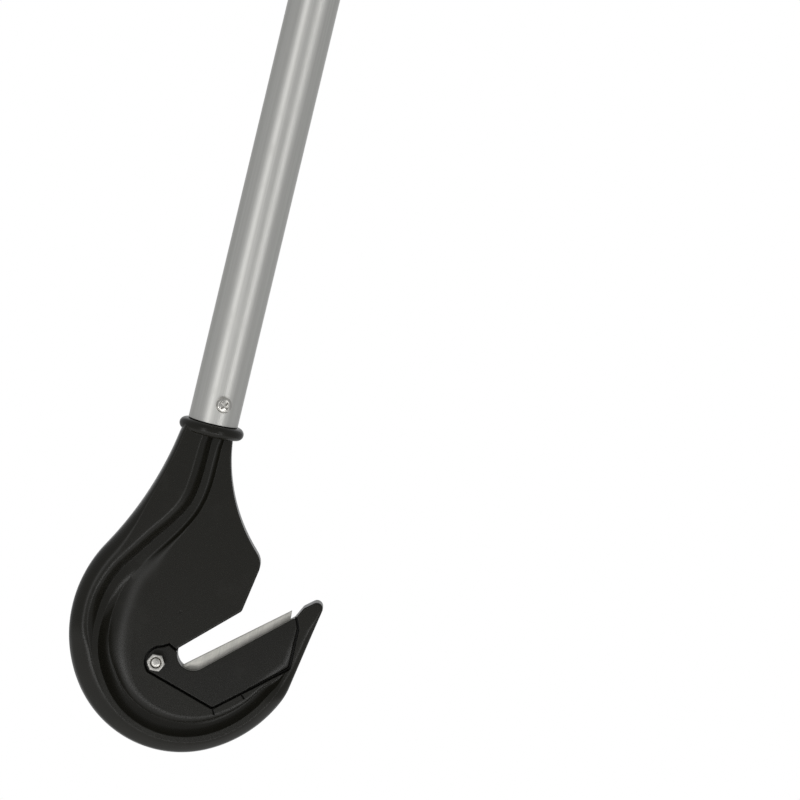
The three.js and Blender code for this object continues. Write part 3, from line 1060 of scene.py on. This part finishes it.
def make_nut():
    nut = hexagon("clamp_nut_look", HEX_ACROSS, BOLT, NUT_FRONT, NUT_BACK, 2.5)
    corner = HEX_ACROSS / math.sqrt(3)
    flat = HEX_ACROSS / 2
    low = -NUT_BACK
    high = -NUT_FRONT
    cone = [
        (0, low),
        (flat + 0.1, low),
        (corner + 0.1, low + 0.4),
        (corner + 0.1, high - 0.55),
        (flat - 0.15, high),
        (0, high),
    ]
    carve(nut, turned("cone", cone, place(*BOLT), FRONT, sides=96), "INTERSECT")
    bore = [(0, low - 1), (3.15, low - 1), (3.15, low), (2.8, low + 0.35)]
    thread = low + 0.4
    while thread < high - 1.0:
        bore += [(2.95, thread + 0.2), (2.8, thread + 0.4), (2.8, thread + 0.5)]
        thread += 0.6
    bore += [(2.8, high - 0.3), (3.1, high), (3.1, high + 1), (0, high + 1)]
    carve(nut, turned("bore", bore, place(*BOLT), FRONT, sides=64))
    return settle(nut, PLATED_STEEL, "plated_steel", "nut", "clamp_nut", angle=25)


# ---- Tube and its screw ------------------------------------------------------------------------


def make_tube():
    length = (tube_high.z - tube_low.z) / MM
    outer = TUBE_RADIUS
    inner = TUBE_RADIUS - TUBE_WALL
    soft = 0.25
    profile = [
        (inner + soft, 0),
        (outer - soft, 0),
        (outer, soft),
        (outer, length - soft),
        (outer - soft, length),
        (inner + soft, length),
        (inner, length - soft),
        (inner, soft),
        (inner + soft, 0),
    ]
    tube = turned("handle_tube_look", profile, place(0, 0), sides=160)
    carve(tube, screw_hole())
    return settle(tube, BRUSHED_TUBE, "brushed_tube", "handle", "handle_tube")


def make_screw():
    """A pan-head screw with a cross recess."""
    seat = TUBE_RADIUS + CLEARANCE
    top = seat + 2.6
    profile = [(0, seat - 11), (2.1, seat - 9), (2.1, seat), (3.85, seat)]
    profile += [(4.0, seat + 0.15), (4.0, seat + 0.8)]
    profile += rounded(2.4, seat + 0.8, 1.6, 5, 75, 8)
    profile += [(1.2, top - 0.05), (0, top)]
    screw = turned("tube_screw_look", profile, place(0, SCREW_HEIGHT), screw_axis(), UP, 64)
    middle = place(0, SCREW_HEIGHT) + screw_axis() * (top - 0.2) * MM
    for turn in (38, 128):
        bar = block("bar", (4.6, 3.4, 0.95), middle, turn)
        spin = Matrix.Rotation(math.radians(SCREW_ANGLE), 4, "Z")
        about = Matrix.Translation(middle) @ spin @ Matrix.Translation(-middle)
        bar.data.transform(about)
        carve(screw, bar)
    return settle(screw, PLATED_STEEL, "plated_steel", "handle", "tube_screw", angle=25)


# ---- Grip and hanging cap ----------------------------------------------------------------------


def make_grip():
    """A rubber sleeve with rounded ends and a band of ribs between two plain collars."""
    low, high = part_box("hand_grip")
    length = (high.z - low.z) / MM
    inner = TUBE_RADIUS + CLEARANCE
    outer = 15.8
    profile = [(inner, 0.4), (inner + 0.4, 0)]
    profile += rounded(outer - 1.5, 1.5, 1.5, -90, 0, 6)
    rib = 3.6
    collar = 14.0
    count = int((length - 2 * collar) / rib)
    start = (length - count * rib) / 2
    for i in range(count):
        base = start + i * rib
        profile += [(outer, base + 0.2), (outer - 0.35, base + 0.45), (outer - 0.95, base + 0.8)]
        profile += [(outer - 0.95, base + 1.5), (outer - 0.35, base + 1.85), (outer, base + 2.1)]
    profile += rounded(outer - 1.5, length - 1.5, 1.5, 0, 90, 6)
    profile += [(inner + 0.4, length), (inner, length - 0.4), (inner, 0.4)]
    grip = turned("hand_grip_look", profile, Vector((0, 0, low.z)), sides=96)
    return settle(grip, GRIP_RUBBER, "grip_rubber", "handle", "hand_grip")


def make_cap():
    """The plug in the tube's upper end, with a rounded eye to hang the tool by."""
    seat = tube_high.z / MM + CLEARANCE
    top = seat + 4
    profile = [(0, seat - 22), (9.7, seat - 22), (10.7, seat - 21), (10.7, seat), (15.0, seat)]
    profile += rounded(15.0, seat + 0.8, 0.8, -90, 0, 4)
    profile += rounded(14.3, top - 1.5, 1.5, 0, 90, 6)
    profile += [(0, top)]
    cap = turned("hanging_cap_look", profile, (0, 0, 0), sides=96)
    lift = -datum / MM
    pen = Pen("eye", -12, lift + top - 1, 0)
    pen.line(12, lift + top - 1, 30)
    pen.line(12, lift, 30)
    pen.heading = math.radians(90)
    pen.arc(12, 180, 0.9)
    pen.line(-12, lift + top - 1, 30)
    eye = plate(pen, -6, 6)
    bevel_edges(eye, eye_rim_edge, 1.6, 5)
    carve(cap, eye, "UNION")
    hole = [(0, -8), (6.6, -8), (6.6, -6)]
    hole += rounded(6.6, -4.4, 1.6, -90, -180, 5)
    hole += rounded(6.6, 4.4, 1.6, 180, 90, 5)
    hole += [(6.6, 8), (0, 8)]
    carve(cap, turned("hole", hole, (0, 0, 0), FRONT, sides=64))
    return settle(cap, BLACK_PLASTIC, "black_plastic", "handle", "hanging_cap")


def eye_rim_edge(edge):
    """The edges round the eye's two flat faces, apart from the foot's."""
    if len(edge.link_faces) != 2:
        return False
    flats = [abs(face.normal.y) > 0.9 for face in edge.link_faces]
    highest = max(vertex.co.z for vertex in edge.verts)
    return flats[0] != flats[1] and highest > -13 * MM


make_head()
make_tube()
make_screw()
make_cover()
make_blade()
make_bolt()
make_nut()
make_grip()
make_cap()

# ---- Floor, light and camera -------------------------------------------------------------------

AIM = Vector((0.0875, 0, -0.6896))
LEAN = math.radians(13.6)             # how far the camera is rolled about its own axis
LENS = 200                            # millimetres
CAMERA_DISTANCE = 2.203
CAMERA_RISE = math.radians(5.4)
FLOOR_HEIGHT = -1.3
FLOOR_RADIUS = 1.15
ROOM_STRENGTH = 0.36                  # of the light from all round
PAPER_STRENGTH = 1.0                  # of the white that shows behind the tool

# Name, azimuth, elevation, distance, width, height and radiance of each soft light.
LIGHTS = (
    ("left_strip", -28, 5, 2.2, 0.34, 2.0, 1.7),
    ("right_strip", 35, 5, 2.2, 0.30, 2.0, 1.6),
    ("low_strip", 0, -28, 1.3, 1.6, 0.13, 5.0),
    ("back_wall", 180, 10, 2.6, 2.6, 2.2, 0.3),
)


def make_floor():
    """A pale round floor, well below the hanging tool and no wider than it needs."""
    bpy.ops.object.select_all(action="DESELECT")
    bpy.ops.mesh.primitive_circle_add(
        vertices=128, radius=FLOOR_RADIUS, fill_type="NGON", location=(0, 0, FLOOR_HEIGHT)
    )
    floor = bpy.context.object
    floor.name = "floor"
    bpy.ops.object.transform_apply(location=True, rotation=True, scale=True)
    material, recipe, shader, where = new_material("floor_paint")
    shade = recipe.noise(where, 3.0, 2.0)
    colour = recipe.blend(shade, (0.84, 0.84, 0.84, 1), (0.87, 0.87, 0.87, 1))
    recipe.tree.links.new(colour, shader.inputs["Base Color"])
    shader.inputs["Roughness"].default_value = 0.9
    shader.inputs["Emission Color"].default_value = (1, 1, 1, 1)
    shader.inputs["Emission Strength"].default_value = 0.3
    floor.data.materials.append(material)


def panel_light(name, azimuth, elevation, distance, width, height, radiance):
    """A soft rectangular light that faces the head. Azimuth 0 is the front, 90 the right."""
    light = bpy.data.lights.new(name, "AREA")
    light.shape = "RECTANGLE"
    light.size = width
    light.size_y = height
    light.energy = radiance * math.pi * width * height
    lamp = bpy.data.objects.new(name, light)
    bpy.context.scene.collection.objects.link(lamp)
    across = math.radians(azimuth)
    rise = math.radians(elevation)
    away = Vector(
        (
            math.sin(across) * math.cos(rise),
            -math.cos(across) * math.cos(rise),
            math.sin(rise),
        )
    )
    lamp.location = AIM + away * distance
    lamp.rotation_mode = "QUATERNION"
    lamp.rotation_quaternion = away.to_track_quat("Z", "Y")
    lamp.visible_camera = False


def make_world():
    world = bpy.data.worlds.new("studio")
    bpy.context.scene.world = world
    world.use_nodes = True
    tree = world.node_tree
    room = tree.nodes["Background"]
    room.inputs["Color"].default_value = (0.98, 0.99, 1.0, 1)
    room.inputs["Strength"].default_value = ROOM_STRENGTH
    paper = tree.nodes.new("ShaderNodeBackground")
    paper.inputs["Color"].default_value = (1, 1, 1, 1)
    paper.inputs["Strength"].default_value = PAPER_STRENGTH
    seen = tree.nodes.new("ShaderNodeLightPath")
    mix = tree.nodes.new("ShaderNodeMixShader")
    tree.links.new(seen.outputs["Is Camera Ray"], mix.inputs[0])
    tree.links.new(room.outputs[0], mix.inputs[1])
    tree.links.new(paper.outputs[0], mix.inputs[2])
    tree.links.new(mix.outputs[0], tree.nodes["World Output"].inputs["Surface"])


def make_camera():
    camera = bpy.data.cameras.new("camera")
    camera.lens = LENS
    camera.sensor_width = 36
    holder = bpy.data.objects.new("camera", camera)
    bpy.context.scene.collection.objects.link(holder)
    right = Vector((math.cos(LEAN), 0, math.sin(LEAN)))
    tilted_up = Vector((-math.sin(LEAN), 0, math.cos(LEAN)))
    away = FRONT * math.cos(CAMERA_RISE) + tilted_up * math.sin(CAMERA_RISE)
    up = away.cross(right)
    turn = Matrix((right, up, away)).transposed().to_4x4()
    holder.matrix_world = Matrix.Translation(AIM + away * CAMERA_DISTANCE) @ turn
    bpy.context.scene.camera = holder


bpy.context.scene.view_settings.view_transform = "Standard"
make_floor()
make_world()
for light in LIGHTS:
    panel_light(*light)
make_camera()
